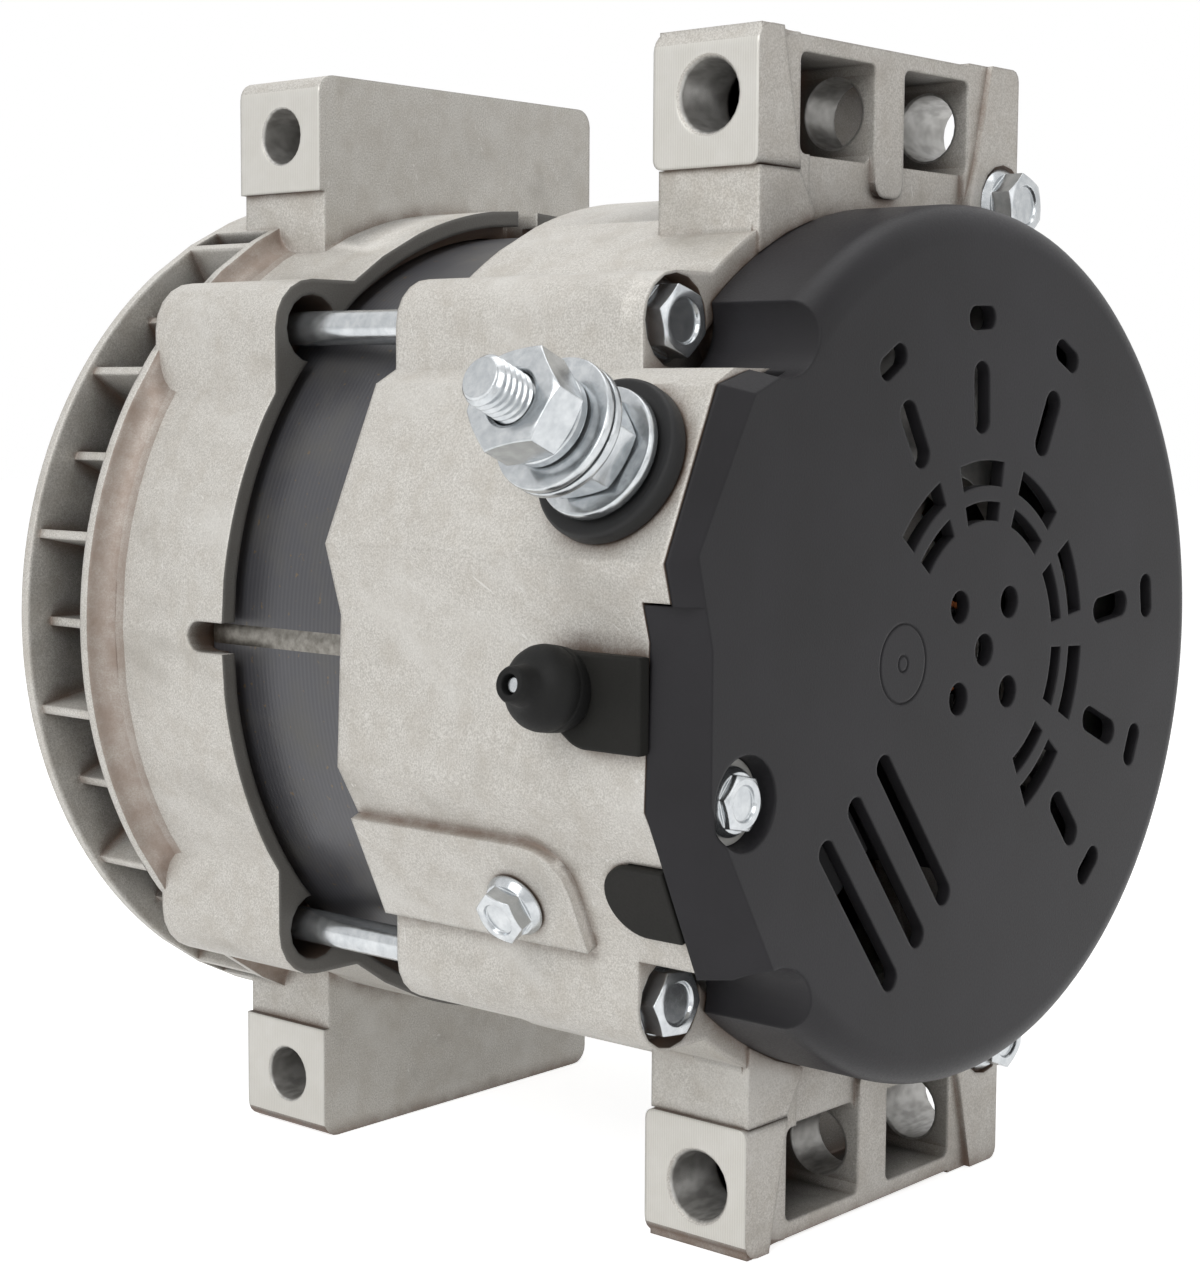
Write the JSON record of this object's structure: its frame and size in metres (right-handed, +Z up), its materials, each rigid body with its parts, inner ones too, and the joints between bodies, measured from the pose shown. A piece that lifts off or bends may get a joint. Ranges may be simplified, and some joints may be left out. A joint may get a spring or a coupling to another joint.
{
  "type": "alternator",
  "caption": "Heavy-duty belt-driven alternator with cast end housings, pad-mount lugs, vented drive end, slotted black rear cover, side battery stud and relay terminal.",
  "frame": {"origin": "centre of the shaft's drive-end face", "axes": "+Y along the shaft toward the drive end, +X to the right seen from the slip-ring end, +Z up"},
  "size_m": [0.1852, 0.206, 0.2016],
  "materials": {
    "cast_aluminium": "as-cast aluminium, fine grain",
    "sheet_aluminium": "rolled aluminium",
    "zinc_plated_steel": "bright zinc plating",
    "machined_steel": "machined steel",
    "black_lacquered_iron": "black lacquer with a low sheen",
    "pole_iron": "forged iron",
    "copper": "enamelled copper",
    "black_plastic": "matte black glass-filled plastic",
    "black_rubber": "black rubber",
    "carbon": "copper graphite"
  },
  "bodies": {
    "housing": {"battery_stud": "zinc_plated_steel", "bearing_retainer": "machined_steel", "brush_holder": "black_plastic", "brush_spring_inner": "machined_steel", "brush_spring_outer": "machined_steel", "cover_screw": "zinc_plated_steel", "drive_end_housing": "cast_aluminium", "front_bearing_outer": "machined_steel", "lug_bolt_lower": "zinc_plated_steel", "lug_bolt_upper": "zinc_plated_steel", "negative_diode_1": "black_plastic", "negative_diode_2": "black_plastic", "negative_diode_3": "black_plastic", "negative_heat_sink": "sheet_aluminium", "positive_diode_1": "black_plastic", "positive_diode_2": "black_plastic", "positive_diode_3": "black_plastic", "positive_heat_sink": "sheet_aluminium", "rear_bearing_outer": "machined_steel", "rear_cover": "black_plastic", "relay_boot": "black_rubber", "relay_stud": "zinc_plated_steel", "relay_terminal_block": "black_plastic", "retainer_screw_1": "zinc_plated_steel", "retainer_screw_2": "zinc_plated_steel", "retainer_screw_3": "zinc_plated_steel", "retainer_screw_4": "zinc_plated_steel", "side_bolt": "zinc_plated_steel", "slip_ring_end_housing": "cast_aluminium", "stator_core": "black_lacquered_iron", "stator_winding": "copper", "stud_flat_washer": "zinc_plated_steel", "stud_inner_nut": "zinc_plated_steel", "stud_insulator": "black_plastic", "stud_large_washer": "zinc_plated_steel", "stud_outer_nut": "zinc_plated_steel", "stud_spring_washer": "zinc_plated_steel", "stud_thin_washer": "zinc_plated_steel", "terminal_plug": "black_rubber", "through_bolt_lower_left": "zinc_plated_steel", "through_bolt_lower_right": "zinc_plated_steel", "through_bolt_upper_left": "zinc_plated_steel", "through_bolt_upper_right": "zinc_plated_steel", "voltage_regulator": "black_plastic"},
    "rotor": {"rotor_shaft": "machined_steel", "claw_pole_rear": "pole_iron", "claw_pole_front": "pole_iron", "field_coil": "copper", "fan_spacer": "machined_steel", "cooling_fan": "sheet_aluminium", "slip_ring_sleeve": "black_plastic", "slip_ring_outer": "copper", "slip_ring_inner": "copper", "rear_bearing_inner": "machined_steel", "front_bearing_inner": "machined_steel", "shaft_collar": "machined_steel", "shaft_washer": "machined_steel", "shaft_nut": "zinc_plated_steel"},
    "brush_outer": {"brush_outer": "carbon"},
    "brush_inner": {"brush_inner": "carbon"}
  },
  "joints": [
    {"name": "rotor_spin", "type": "hinge", "parent": "housing", "child": "rotor", "pos_m": [0, 0, 0], "axis": [0, 1, 0], "continuous": true},
    {"name": "brush_outer_slide", "type": "slide", "parent": "housing", "child": "brush_outer", "axis": [0, 0, -1], "range_m": [0, 0.008], "stiffness_N_per_m": 300, "springref_m": -0.01, "deforming": ["brush_spring_outer"]},
    {"name": "brush_inner_slide", "type": "slide", "parent": "housing", "child": "brush_inner", "axis": [0, 0, -1], "range_m": [0, 0.008], "stiffness_N_per_m": 300, "springref_m": -0.01, "deforming": ["brush_spring_inner"]}
  ]
}
